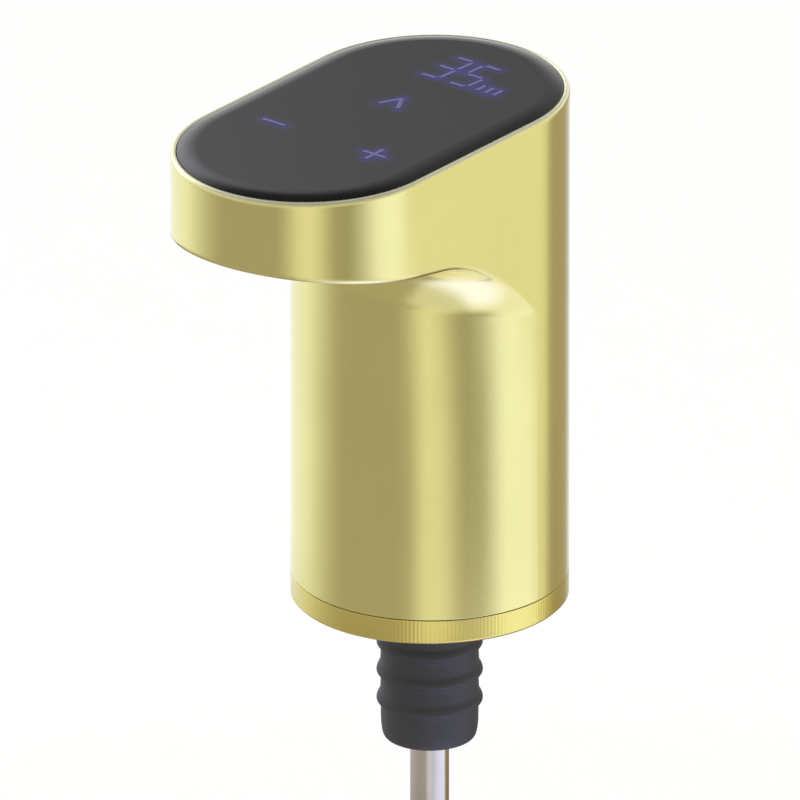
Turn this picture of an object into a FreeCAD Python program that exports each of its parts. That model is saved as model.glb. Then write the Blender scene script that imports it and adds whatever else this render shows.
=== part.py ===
import FreeCAD, Part
import math
import os

# Wine preservation dispenser: a battery-powered spout that plugs into a bottle's mouth, pumps air in and
# draws the wine up a telescopic tube. Millimetres. +Z is up and the spout points to -Y. The origin is on
# the column's axis, where the rubber seat meets the bottle's rim.

Vector = FreeCAD.Vector

# ---- Outer form: a round column that carries a long rounded head
body_radius = 25.0
head_reach = 33.5            # from the column's axis to the axis of the head's round front
top_height = 97.2            # of the rim, on the column's axis
top_slope = 1.55             # degrees, falling towards the spout
head_depth = 19.2            # from that height to the underside below the axis of the head's round front
underside_slope = 8.4        # degrees, falling towards the column
underside_fillet = 12.5
shell_wall = 1.6
base_ring_height = 4.6
base_seam = 0.15
base_bevel = 0.4

# ---- Touch panel and what lies under it
rim_width = 1.0
rim_round = 0.7
panel_gap = 0.15
panel_thickness = 2.2
panel_rise = 0.7             # of the glass above the rim
panel_edge_width = 3.4       # over which the glass falls in an arc to the rim's level
gasket_thickness = 0.3
ledge_width = 1.6
ledge_thickness = 1.5
board_space = 2.6
board_thickness = 1.2
board_margin = 0.8
mark_thickness = 0.06
mark_stroke = 0.72
pad_radius = 3.2
display_margin = 2.0
board_post_x = 12.4
chip_height = 1.0
chip_places = [(4.5, -12.5, 7.0), (-1.5, -5.0, 3.0), (4.5, -5.0, 2.4)]      # x, y, width

# ---- Marks on the panel, seen from the spout's side
minus_centre = (-11.5, -29.75)
plus_centre = (11.9, -30.1)
chevron_centre = (0.1, -9.85)
key_mark_length = 5.1
chevron_width = 4.2
chevron_height = 3.8
digit_width = 4.1
digit_height = 9.5
digit_pitch = 6.5
digit_lean = 0.065
digit_origin = (-4.7, 3.0)
segment_gap = 0.15
unit_bar_count = 3
unit_bar_height = 2.6
unit_bar_pitch = 1.9

# ---- Fits
fit_gap = 0.3
running_gap = 0.1
socket_gap = 0.15

# ---- Fasteners
screw_radius = 1.0
screw_head_radius = 1.9
screw_head_height = 1.2
screw_length = 8.0
post_radius = 2.4
small_screw_radius = 0.8
small_head_radius = 1.5
small_head_height = 0.9
small_screw_length = 5.0
post_circle = 15.35
post_angles = (45, 135, 225, 315)

# ---- Bottom of the column
cover_thickness = 2.0
cover_gap = 0.1
ring_wall = 5.0              # from the hub to the outside
hub_wall = 1.8
hub_lip = 0.6
hub_lip_height = 0.6
tab_thickness = 1.1
tab_reach = 2.4
tab_angle = 34.0
notch_angle = 40.0
tab_count = 4
seat_thickness = 1.3
seat_radius = 15.0
carrier_thickness = 1.9
carrier_boss_radius = 8.6

# ---- Stopper and telescopic tube
plug_radius = 8.9
plug_tip_radius = 8.3
rib_radius = 9.6
rib_land = 1.4
rib_pitch = 5.5
rib_count = 4
plug_length = 28.0
upper_tube_radius = 3.5
middle_tube_radius = 2.8
lower_tube_radius = 2.1
tube_wall = 0.4
tube_reach = 100.0           # from the seat to the lower end of the upper tube
tube_step = 4.0              # each inner tube's top starts this much lower
gland_length = 6.0
gland_wall = 1.1
gland_lip = 1.5
gland_space = 0.5
seal_length = 3.0
foot_length = 9.0
foot_wall = 0.8
foot_slot = 1.2

# ---- Wine and air ports
port_floor = 0.3
port_wall = 1.6
wine_hose_radius = 3.0
wine_hose_bore = 2.0
air_hose_radius = 2.2
air_hose_bore = 1.2
hose_wall_gap = 3.4
hose_slot_gap = 1.0
wine_port_run = 4.1
air_port_run = 2.4
head_bend = 15.6
valve_bend = 7.4
hose_merge = 16.5            # from the nozzle's axis to where the wine hose comes in line with it
hose_drift = 4.0
air_hose_shift = 12.0        # height over which the air hose leans across to the valve
air_hose_straight = 4.0
air_port_x = -6.2
spigot_length = 4.0
nipple_wall = 0.6
seal_ring_width = 1.1

# ---- Battery and pump
battery_radius = 9.2
battery_headroom = 2.776
battery_wall_gap = 2.2
contact_thickness = 0.3
contact_radius = 6.5
web_thickness = 1.6
web_hose_gap = 1.5
space_under_shelf = 15.25
shelf_thickness = 1.6
collar_wall = 1.4
collar_height = 6.0
collar_lift = 6.0
pump_wall_gap = 1.9
motor_inset = 1.0
motor_length = 25.2
motor_wall = 0.8
shaft_radius = 1.0
bush_radius = 2.2
bush_length = 1.6
magnet_thickness = 1.5
armature_gap = 0.6
armature_poles = 3
winding_length = 2.2
commutator_radius = 2.6
commutator_length = 2.6
commutator_gap = 0.2
pump_base_height = 10.0
pump_base_wall = 1.4
eccentric_radius = 4.2
eccentric_height = 3.2
crank_offset = 2.0
crank_radius = 0.8
screw_wall = 0.45
rocker_thickness = 1.2
cup_spacing = 3.63
cup_edge = 0.2
cup_depth = 2.2
cup_wall = 0.7
diaphragm_thickness = 1.0
flap_thickness = 0.6
pump_head_height = 6.0
cup_angles = (30, 150, 270)
pump_screw_angles = (90, 330, 270)

# ---- Air valve in the head
arm_thickness = 1.4
arm_clearance = 0.5
arm_post_gap = 2.0
pump_port_edge = 2.42
valve_rear = -11.0
valve_width = 12.0
valve_length = 9.0
valve_height = 7.6
valve_port_pitch = 6.0
valve_end_wall = 2.0
yoke_thickness = 0.8
coil_length = 11.0
plunger_radius = 2.0
plunger_travel = 1.2
plunger_stop_gap = 0.6
core_reach = 2.0
spring_wire = 0.15
spring_radius = 1.0
spring_turns = 7
spring_pocket = 4.0

# ---- Spout nozzle
nozzle_setback = 8.5         # from the head's front tip to the nozzle's axis
nozzle_radius = 4.4
nozzle_bore = 2.6
nozzle_tip = 0.7             # how far the nozzle stands below the head
nozzle_flange_radius = 5.8
nozzle_flange_thickness = 1.0
nozzle_screw_offset = 8.6
boss_rise = 1.75
hose_headroom = 1.0
screen_thickness = 0.5
screen_depth = 1.3           # of the aerator screen, above the nozzle's tip
screen_openings = 6

# ---- Charging port
power_board_lift = 2.55
power_board_half_width = 8.0
power_board_length = 14.0
power_board_rear_gap = 1.6
power_chip_size = 4.0
power_chip_x = (-3.0, 4.0)
capacitor_radius = 1.5
capacitor_place = (-6.0, 7.0)        # x, and how far behind the board's front edge
usb_width = 8.94
usb_height = 3.26
usb_depth = 7.4
usb_wall = 0.3
usb_tongue_width = 6.69
usb_tongue_height = 0.7
usb_recess = 0.6
usb_gap = 0.25

# ---- Worked out from the above
underside_height = top_height - head_depth
inner_radius = body_radius - shell_wall
recess_radius = body_radius - rim_width
panel_radius = recess_radius - panel_gap
opening_radius = recess_radius - ledge_width
board_radius = opening_radius - board_margin
panel_bottom = panel_thickness - panel_rise
gasket_bottom = panel_bottom + gasket_thickness
ledge_bottom = gasket_bottom + ledge_thickness
board_top = gasket_bottom + board_space
board_bottom = board_top + board_thickness
floor_lift = shell_wall / math.cos(math.radians(underside_slope))
housing_bottom = base_ring_height + base_seam
hub_radius = body_radius - ring_wall
cover_top = housing_bottom + cover_thickness
shelf_bottom = cover_top + space_under_shelf
shelf_top = shelf_bottom + shelf_thickness
carrier_top = seat_thickness + carrier_thickness
battery_y = inner_radius - battery_wall_gap - battery_radius
web_rear = battery_y - battery_radius - fit_gap
web_front = web_rear - web_thickness
web_middle = (web_front + web_rear) / 2
pump_radius = (inner_radius - pump_wall_gap + web_front - fit_gap) / 2
pump_y = pump_radius - inner_radius + pump_wall_gap
motor_radius = pump_radius - motor_inset
motor_top = shelf_top + motor_length
pump_base_top = motor_top + pump_base_height
diaphragm_top = pump_base_top + diaphragm_thickness
flap_top = diaphragm_top + flap_thickness
pump_top = flap_top + pump_head_height
armature_half = motor_length / 2 - winding_length - commutator_length - commutator_gap - bush_length
pump_screw_circle = pump_radius - small_head_radius - running_gap
rocker_radius = pump_screw_circle - small_screw_radius - screw_wall - fit_gap
cup_radius = ((rocker_radius - cup_edge) * math.sqrt(3) - cup_spacing) / (2 + math.sqrt(3))
cup_circle = rocker_radius - cup_edge - cup_radius
battery_bottom = shelf_top + contact_thickness
nozzle_y = nozzle_setback - head_reach - body_radius
wine_hose_x = inner_radius - hose_wall_gap - wine_hose_radius
air_hose_x = hose_wall_gap + air_hose_radius - inner_radius
web_half_width = wine_hose_x - wine_hose_radius - web_hose_gap
port_half_width = upper_tube_radius + port_wall
air_port_end = air_port_x - air_hose_radius - port_wall
wine_bend = wine_hose_x - port_half_width - wine_port_run
air_bend = air_port_end - air_hose_x - air_port_run
port_height = cover_top + wine_hose_radius + port_floor
port_top = port_height + wine_hose_radius
socket_top = port_height - wine_hose_bore / 2
span = 4 * (body_radius + head_reach)
tall = top_height + body_radius


# ---- Plain shapes
def cylinder(radius, low, high, x=0.0, y=0.0):
    return Part.makeCylinder(radius, high - low, Vector(x, y, low))


def tube(outer, inner, low, high, x=0.0, y=0.0):
    return cylinder(outer, low, high, x, y).cut(cylinder(inner, low, high, x, y))


def rod_along_x(radius, start, end, y, z):
    return Part.makeCylinder(radius, end - start, Vector(start, y, z), Vector(1, 0, 0))


def rod_along_y(radius, start, end, x, z):
    return Part.makeCylinder(radius, end - start, Vector(x, start, z), Vector(0, 1, 0))


def block(x0, x1, y0, y1, z0, z1):
    return Part.makeBox(x1 - x0, y1 - y0, z1 - z0, Vector(x0, y0, z0))


def turned(points):
    """Solid of revolution about +Z from a closed (radius, height) outline."""
    corners = [Vector(radius, 0, height) for radius, height in points]
    outline = Part.makePolygon(corners + corners[:1])
    return Part.Face(outline).revolve(Vector(0, 0, 0), Vector(0, 0, 1), 360)


def sector(inner, outer, low, high, middle, angle):
    """Ring segment, its middle at the given bearing in degrees from +X."""
    wedge = Part.makeCylinder(outer, high - low, Vector(0, 0, low), Vector(0, 0, 1), angle)
    wedge.rotate(Vector(0, 0, 0), Vector(0, 0, 1), middle - angle / 2)
    return wedge.cut(cylinder(inner, low, high))


def prism(points, low, high):
    corners = [Vector(x, y, low) for x, y in points]
    return Part.Face(Part.makePolygon(corners + corners[:1])).extrude(Vector(0, 0, high - low))


def joined(shapes):
    whole = shapes[0]
    for shape in shapes[1:]:
        whole = whole.fuse(shape)
    return whole.removeSplitter()


def without(whole, holes):
    for hole in holes:
        whole = whole.cut(hole)
    return whole


def screw(x, y, underside, length, radius, head_radius, head_height, down=True):
    """Pan-head screw whose head bears at the given height; it points down unless told otherwise."""
    if down:
        parts = [cylinder(radius, underside - length, underside, x, y)]
        parts.append(cylinder(head_radius, underside, underside + head_height, x, y))
    else:
        parts = [cylinder(radius, underside, underside + length, x, y)]
        parts.append(cylinder(head_radius, underside - head_height, underside, x, y))
    return joined(parts)


def save(node, shapes):
    shape = shapes[0] if len(shapes) == 1 else Part.makeCompound(shapes)
    shape.exportStep("parts/" + node + ".step")


# ---- The head's own surfaces
def stadium(radius, low, high):
    """Upright prism of the head's long rounded plan."""
    rear = Part.Arc(Vector(radius, 0, low), Vector(0, radius, low), Vector(-radius, 0, low))
    left = Part.makeLine(Vector(-radius, 0, low), Vector(-radius, -head_reach, low))
    tip = Vector(0, -head_reach - radius, low)
    front = Part.Arc(Vector(-radius, -head_reach, low), tip, Vector(radius, -head_reach, low))
    right = Part.makeLine(Vector(radius, -head_reach, low), Vector(radius, 0, low))
    outline = Part.Wire([rear.toShape(), left, front.toShape(), right])
    return Part.Face(outline).extrude(Vector(0, 0, high - low))


def below_top(depth):
    """Everything deeper than this under the sloping top plane, measured upright."""
    space = Part.makeBox(span, span, span, Vector(-span / 2, -span / 2, -span))
    space.rotate(Vector(0, 0, 0), Vector(1, 0, 0), top_slope)
    space.translate(Vector(0, 0, top_height - depth))
    return space


def above_underside(lift):
    space = Part.makeBox(span, span, span, Vector(-span / 2, -span / 2, 0))
    space.rotate(Vector(0, 0, 0), Vector(1, 0, 0), -underside_slope)
    space.translate(Vector(0, -head_reach, underside_height + lift))
    return space


def underside_at(y):
    return underside_height - math.tan(math.radians(underside_slope)) * (y + head_reach)


def top_at(y, depth=0.0):
    return top_height - depth + math.tan(math.radians(top_slope)) * y


def top_layer(shape, upper, lower):
    """The part of a tall shape that lies between two depths under the top plane."""
    return shape.common(below_top(upper)).cut(below_top(lower))


def column_and_head(radius, low, lift, fillet, depth):
    """Round column that sweeps into the head; lift, fillet and radius together offset the surface."""
    column = cylinder(radius, low, tall)
    slab = above_underside(lift).common(cylinder(span / 2, low, tall))
    body = column.fuse(slab)
    corner = []
    for edge in body.Edges:
        point = edge.valueAt((edge.FirstParameter + edge.LastParameter) / 2)
        on_column = abs(math.hypot(point.x, point.y) - radius) < 0.001
        on_underside = abs(point.z - underside_at(point.y) - lift) < 0.001
        if on_column and on_underside:
            corner.append(edge)
    body = body.makeFillet(fillet, corner)
    front_half = block(-span, span, -span, 0, low, tall)
    front = body.common(stadium(radius, low, tall).common(front_half))
    rear = cylinder(radius, low, tall).cut(front_half)
    return joined([front, rear]).common(below_top(depth))


# ---- Hoses follow straight runs joined by tangent arcs
def rounded_route(points, radii):
    corners = [Vector(*point) for point in points]
    edges = []
    start = corners[0]
    for index, radius in enumerate(radii):
        corner = corners[index + 1]
        back = (corners[index] - corner).normalize()
        ahead = (corners[index + 2] - corner).normalize()
        half = (math.pi - back.getAngle(ahead)) / 2
        reach = radius * math.tan(half)
        entry = corner + back * reach
        leave = corner + ahead * reach
        inward = (back + ahead).normalize()
        middle = corner + inward * (radius / math.cos(half) - radius)
        edges.append(Part.makeLine(start, entry))
        edges.append(Part.Arc(entry, middle, leave).toShape())
        start = leave
    edges.append(Part.makeLine(start, corners[-1]))
    return Part.Wire(edges)


def hose(points, radii, outer, bore):
    route = rounded_route(points, radii)
    first = Vector(*points[0])
    direction = Vector(*points[1]) - first
    solids = []
    for radius in (outer, bore):
        section = Part.Wire([Part.makeCircle(radius, first, direction)])
        solids.append(route.makePipeShell([section], True, False))
    return solids[0].cut(solids[1])


os.makedirs("parts", exist_ok=True)

# ---- Levels and places shared by the pieces in the head
battery_top = top_at(battery_y - battery_radius, board_bottom) - battery_headroom
floor_at_nozzle = underside_at(nozzle_y) + floor_lift
boss_top = floor_at_nozzle + boss_rise
flange_top = boss_top + nozzle_flange_thickness
head_hose_height = top_at(nozzle_y, board_bottom) - hose_headroom - wine_hose_radius
yoke_rear = valve_rear - valve_length
coil_rear = yoke_rear - yoke_thickness
coil_front = coil_rear - coil_length
yoke_front = coil_front - yoke_thickness
arm_screw_y = yoke_front - post_radius - small_head_radius
arm_front = arm_screw_y - post_radius
arm_bottom = underside_at(arm_front) + floor_lift + arm_clearance
arm_top = arm_bottom + arm_thickness
valve_axis = arm_top + valve_height / 2
valve_port_y = (valve_rear + yoke_rear) / 2
pump_port_x = -math.sqrt((pump_radius - pump_port_edge) ** 2 - (pump_y - valve_port_y) ** 2)
valve_x = pump_port_x - valve_port_pitch / 2
bottle_port_x = valve_x - valve_port_pitch / 2
board_post_y = arm_front - arm_post_gap - post_radius
nipple_length = (arm_bottom - pump_top) / 4
rear_post_x = web_half_width - post_radius
post_places = [(post_circle * math.cos(math.radians(a)), post_circle * math.sin(math.radians(a)))
               for a in post_angles]
nozzle_screw_places = [(-nozzle_screw_offset, nozzle_y), (nozzle_screw_offset, nozzle_y)]
board_front_places = [(-board_post_x, board_post_y), (board_post_x, board_post_y)]
board_rear_places = [(-rear_post_x, web_middle), (rear_post_x, web_middle)]
usb_low = cover_top + power_board_lift + board_thickness
usb_middle = usb_low + usb_height / 2
power_board_rear = inner_radius - power_board_rear_gap


def rounded_slot(half_width, half_height, y0, y1, middle):
    """Flat rounded bar along Y, such as a connector's outline."""
    ends = half_width - half_height
    parts = [block(-ends, ends, y0, y1, middle - half_height, middle + half_height)]
    parts.append(rod_along_y(half_height, y0, y1, -ends, middle))
    parts.append(rod_along_y(half_height, y0, y1, ends, middle))
    return joined(parts)


# ---- Housing: one gold shell, column and head together
def floor_post(radius, top, x, y):
    """Post that grows out of the middle of the head's sloping floor."""
    return cylinder(radius, 0, top, x, y).common(above_underside(shell_wall / 2))


def make_housing():
    shell = column_and_head(body_radius, housing_bottom, 0.0, underside_fillet, 0.0)
    rim = [edge for edge in shell.Edges if all(abs(v.Z - top_at(v.Y)) < 0.001 for v in edge.Vertexes)]
    shell = shell.makeFillet(rim_round, rim)
    hollow = column_and_head(inner_radius, housing_bottom, floor_lift,
                             underside_fillet + shell_wall, ledge_bottom)
    recess = top_layer(stadium(recess_radius, 0, tall), -panel_thickness, gasket_bottom)
    opening = top_layer(stadium(opening_radius, 0, tall), 0, ledge_bottom)
    shell = without(shell, [hollow, recess, opening])
    posts = [floor_post(nozzle_flange_radius, boss_top, 0, nozzle_y)]
    for x, y in nozzle_screw_places:
        posts.append(floor_post(post_radius, boss_top, x, y))
    for x, y in board_front_places:
        posts.append(floor_post(post_radius, tall, x, y).common(below_top(board_bottom)))
    posts.append(floor_post(post_radius, arm_bottom, valve_x, arm_screw_y))
    shell = joined([shell] + posts)
    holes = [cylinder(nozzle_radius + running_gap, underside_at(0), tall, 0, nozzle_y)]
    for x, y in nozzle_screw_places:
        holes.append(cylinder(small_screw_radius, floor_at_nozzle, boss_top, x, y))
    for x, y in board_front_places:
        level = top_at(y, board_top)
        holes.append(cylinder(small_screw_radius, level - small_screw_length, level, x, y))
    holes.append(cylinder(small_screw_radius, underside_at(arm_screw_y) + shell_wall, arm_bottom,
                          valve_x, arm_screw_y))
    holes.append(rounded_slot(usb_width / 2 + usb_gap, usb_height / 2 + usb_gap, 0, body_radius,
                              usb_middle))
    save("housing", [without(shell, holes)])


# ---- Touch panel, its gasket and its lit marks
def domed_plate():
    """The panel lying under Z = 0: flat on top, with an edge that falls in an arc."""
    arc_radius = (panel_edge_width ** 2 + panel_rise ** 2) / (2 * panel_rise)
    half_angle = math.asin(panel_edge_width / arc_radius) / 2
    flat = panel_radius - panel_edge_width
    bottom = -panel_thickness * math.cos(math.radians(top_slope))
    crest = Vector(0, 0, 0)
    arc_start = Vector(flat, 0, 0)
    arc_middle = Vector(flat + arc_radius * math.sin(half_angle), 0, arc_radius * (math.cos(half_angle) - 1))
    arc_end = Vector(panel_radius, 0, -panel_rise)
    edges = [Part.makeLine(crest, arc_start), Part.Arc(arc_start, arc_middle, arc_end).toShape(),
             Part.makeLine(arc_end, Vector(panel_radius, 0, bottom)),
             Part.makeLine(Vector(panel_radius, 0, bottom), Vector(0, 0, bottom)),
             Part.makeLine(Vector(0, 0, bottom), crest)]
    section = Part.Face(Part.Wire(edges))
    rear = section.revolve(crest, Vector(0, 0, 1), 180)
    front = rear.mirror(crest, Vector(0, 1, 0))
    front.translate(Vector(0, -head_reach, 0))
    right = section.extrude(Vector(0, -head_reach, 0))
    left = right.mirror(crest, Vector(1, 0, 0))
    return joined([rear, right, left, front])


def make_panel():
    plate = domed_plate()
    plate.rotate(Vector(0, 0, 0), Vector(1, 0, 0), top_slope)
    plate.translate(Vector(0, 0, top_height + panel_rise))
    save("touch_panel", [plate])
    frame = stadium(panel_radius, 0, tall).cut(stadium(opening_radius, 0, tall))
    save("panel_gasket", [top_layer(frame, panel_bottom, gasket_bottom)])


def mark(points):
    return top_layer(prism(points, 0, tall), -panel_rise - mark_thickness, -panel_rise)


def stroke(start, end):
    """Bar of the marks' stroke width between two points."""
    along = Vector(end[0] - start[0], end[1] - start[1], 0).normalize() * (mark_stroke / 2)
    side = (-along.y, along.x)
    return mark([(start[0] + side[0], start[1] + side[1]), (start[0] - side[0], start[1] - side[1]),
                 (end[0] - side[0], end[1] - side[1]), (end[0] + side[0], end[1] + side[1])])


def digit(left, bottom, lit):
    """Seven-segment digit; lit names its bars, a to g, clockwise from the top, g in the middle."""
    half = digit_height / 2
    gap = mark_stroke / 2 + segment_gap
    ends = {"a": ((gap, 2 * half), (digit_width - gap, 2 * half)),
            "b": ((digit_width, 2 * half - gap), (digit_width, half + gap)),
            "c": ((digit_width, half - gap), (digit_width, gap)),
            "d": ((gap, 0), (digit_width - gap, 0)),
            "e": ((0, half - gap), (0, gap)),
            "f": ((0, 2 * half - gap), (0, half + gap)),
            "g": ((gap, half), (digit_width - gap, half))}
    bars = []
    for name in lit:
        places = [(left + x + digit_lean * y, bottom + y) for x, y in ends[name]]
        bars.append(stroke(places[0], places[1]))
    return bars


def make_marks():
    arm = key_mark_length / 2
    x, y = minus_centre
    keys = [stroke((x - arm, y), (x + arm, y))]
    x, y = plus_centre
    keys.append(joined([stroke((x - arm, y), (x + arm, y)), stroke((x, y - arm), (x, y + arm))]))
    x, y = chevron_centre
    foot = y - chevron_height / 2
    peak = (x, y + chevron_height / 2)
    half = chevron_width / 2
    keys.append(joined([stroke((x - half, foot), peak), stroke(peak, (x + half, foot))]))
    save("key_marks", keys)
    left, bottom = digit_origin
    bars = digit(left, bottom, "abgcd") + digit(left + digit_pitch, bottom, "afgcd")
    for index in range(unit_bar_count):
        x = left + 2 * digit_pitch + index * unit_bar_pitch
        bars.append(stroke((x, bottom), (x, bottom + unit_bar_height)))
    save("digit_marks", bars)


# ---- Control board under the panel
def make_control_board():
    board = top_layer(stadium(board_radius, 0, tall), board_top, board_bottom)
    places = board_front_places + board_rear_places
    holes = [cylinder(small_screw_radius, 0, tall, x, y) for x, y in places]
    save("control_board", [without(board, holes)])
    screws = [screw(x, y, top_at(y, board_top) + fit_gap / 2, small_screw_length, small_screw_radius,
                    small_head_radius, small_head_height) for x, y in places]
    save("board_screws", screws)
    left, bottom = digit_origin
    box = block(left - display_margin, left + 3 * digit_pitch, bottom - display_margin,
                bottom + digit_height + display_margin, 0, tall)
    reliefs = [cylinder(small_head_radius + fit_gap, 0, tall, x, y) for x, y in board_rear_places]
    box = without(box, reliefs).common(cylinder(board_radius, 0, tall))
    save("display_block", [top_layer(box, gasket_bottom, board_top)])
    pads = [top_layer(cylinder(pad_radius, 0, tall, x, y), panel_bottom, board_top)
            for x, y in (minus_centre, plus_centre, chevron_centre)]
    save("touch_pads", pads)
    chips = [block(x - width / 2, x + width / 2, y - width / 2, y + width / 2, 0, tall)
             for x, y, width in chip_places]
    save("control_chips", [top_layer(chip, board_bottom, board_bottom + chip_height) for chip in chips])


# ---- Inner frame: shelf, web, collars and the arm that holds the valve
def collar(radius, low, y, open_side):
    ring = tube(radius + fit_gap / 2 + collar_wall, radius + fit_gap / 2, low, low + collar_height, 0, y)
    cut_start = y + open_side * radius / 2
    far = y + open_side * span
    return ring.cut(block(-span, span, min(cut_start, far), max(cut_start, far), low, tall))


def make_inner_frame():
    shelf = cylinder(inner_radius - fit_gap / 2, shelf_bottom, shelf_top)
    web = block(-web_half_width, web_half_width, web_front, web_rear, shelf_bottom, tall)
    arm = block(valve_x - valve_width / 2, valve_x + valve_width / 2, arm_front,
                web_front + web_thickness / 2, arm_bottom, arm_top)
    parts = [shelf, web, arm]
    for x, y in post_places:
        parts.append(cylinder(post_radius, cover_top, shelf_bottom, x, y))
    for x, y in board_rear_places:
        parts.append(cylinder(post_radius, battery_top + fit_gap, tall, x, y))
    parts.append(collar(motor_radius, shelf_top + collar_lift, pump_y, -1))
    parts.append(collar(battery_radius, shelf_top + collar_lift, battery_y, 1))
    parts.append(collar(battery_radius, battery_top - collar_lift - collar_height, battery_y, 1))
    frame = joined(parts).common(below_top(board_bottom))
    slot = wine_hose_radius + hose_slot_gap
    holes = [block(wine_hose_x - slot, body_radius, -slot, slot, shelf_bottom, shelf_top)]
    holes.append(block(-body_radius, air_hose_x + slot, -slot, slot, shelf_bottom, shelf_top))
    for x, y in post_places:
        holes.append(cylinder(screw_radius, cover_top, cover_top + screw_length, x, y))
    for x, y in board_rear_places:
        level = top_at(y, board_top)
        holes.append(cylinder(small_screw_radius, level - small_screw_length, level, x, y))
    for x in (pump_port_x, bottle_port_x):
        holes.append(cylinder(air_hose_radius + fit_gap, arm_bottom, arm_top, x, valve_port_y))
    holes.append(cylinder(small_screw_radius, arm_bottom, arm_top, valve_x, arm_screw_y))
    save("inner_frame", [without(frame, holes)])
    screws = [screw(x, y, housing_bottom + screw_head_height, screw_length, screw_radius,
                    screw_head_radius, screw_head_height, down=False) for x, y in post_places]
    screws.append(screw(valve_x, arm_screw_y, arm_top, arm_thickness + arm_clearance, small_screw_radius,
                        small_head_radius, small_head_height))
    save("frame_screws", screws)


# ---- Battery
def make_battery():
    cell = cylinder(battery_radius, battery_bottom, battery_top, 0, battery_y)
    rims = [edge for edge in cell.Edges if len(edge.Vertexes) == 1]
    save("battery_cell", [cell.makeFillet(contact_thickness * 2, rims)])
    contacts = [cylinder(contact_radius, shelf_top, battery_bottom, 0, battery_y)]
    contact_top = battery_top + contact_thickness
    contacts.append(cylinder(contact_radius / 2, battery_top, contact_top, 0, battery_y))
    save("battery_contacts", contacts)


# ---- Air pump: motor below, eccentric and rubber cups above
def make_motor():
    inside = motor_radius - motor_wall
    can = tube(motor_radius, inside, shelf_top, motor_top, 0, pump_y)
    ends = [tube(inside, bush_radius, shelf_top, shelf_top + motor_wall, 0, pump_y)]
    ends.append(tube(inside, bush_radius, motor_top - motor_wall, motor_top, 0, pump_y))
    save("motor_can", [joined([can] + ends)])
    bushes = [tube(bush_radius, shaft_radius + running_gap / 2, start, start + bush_length, 0, pump_y)
              for start in (shelf_top, motor_top - bush_length)]
    save("motor_bushes", bushes)
    middle = (shelf_top + motor_top) / 2
    low = middle - armature_half - winding_length
    high = middle + armature_half + winding_length
    magnet = tube(inside, inside - magnet_thickness, low, high, 0, pump_y)
    split = block(-armature_gap * 2, armature_gap * 2, pump_y - span, pump_y + span, low, high)
    save("motor_magnets", magnet.cut(split).Solids)
    core_radius = inside - magnet_thickness - armature_gap
    core = tube(core_radius, shaft_radius, low + winding_length, high - winding_length, 0, pump_y)
    slots = []
    for index in range(armature_poles):
        slot = block(core_radius / 2, span, -armature_gap, armature_gap, low, high)
        slot.rotate(Vector(0, 0, 0), Vector(0, 0, 1), 360 * index / armature_poles)
        slot.translate(Vector(0, pump_y, 0))
        slots.append(slot)
    save("motor_armature", [without(core, slots)])
    windings = [tube(core_radius - 2 * armature_gap, shaft_radius + armature_gap, start,
                     start + winding_length, 0, pump_y) for start in (low, high - winding_length)]
    save("motor_windings", windings)
    commutator_top = high + commutator_length
    save("motor_commutator", [tube(commutator_radius, shaft_radius, high, commutator_top, 0, pump_y)])
    shaft_top = motor_top + pump_base_wall + fit_gap + eccentric_height
    save("motor_shaft", [cylinder(shaft_radius, shelf_top + fit_gap, shaft_top, 0, pump_y)])


def around_pump(circle, angles):
    """Places on a circle about the pump's axis, at bearings in degrees from +X."""
    return [(circle * math.cos(math.radians(a)), pump_y + circle * math.sin(math.radians(a)))
            for a in angles]


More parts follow.
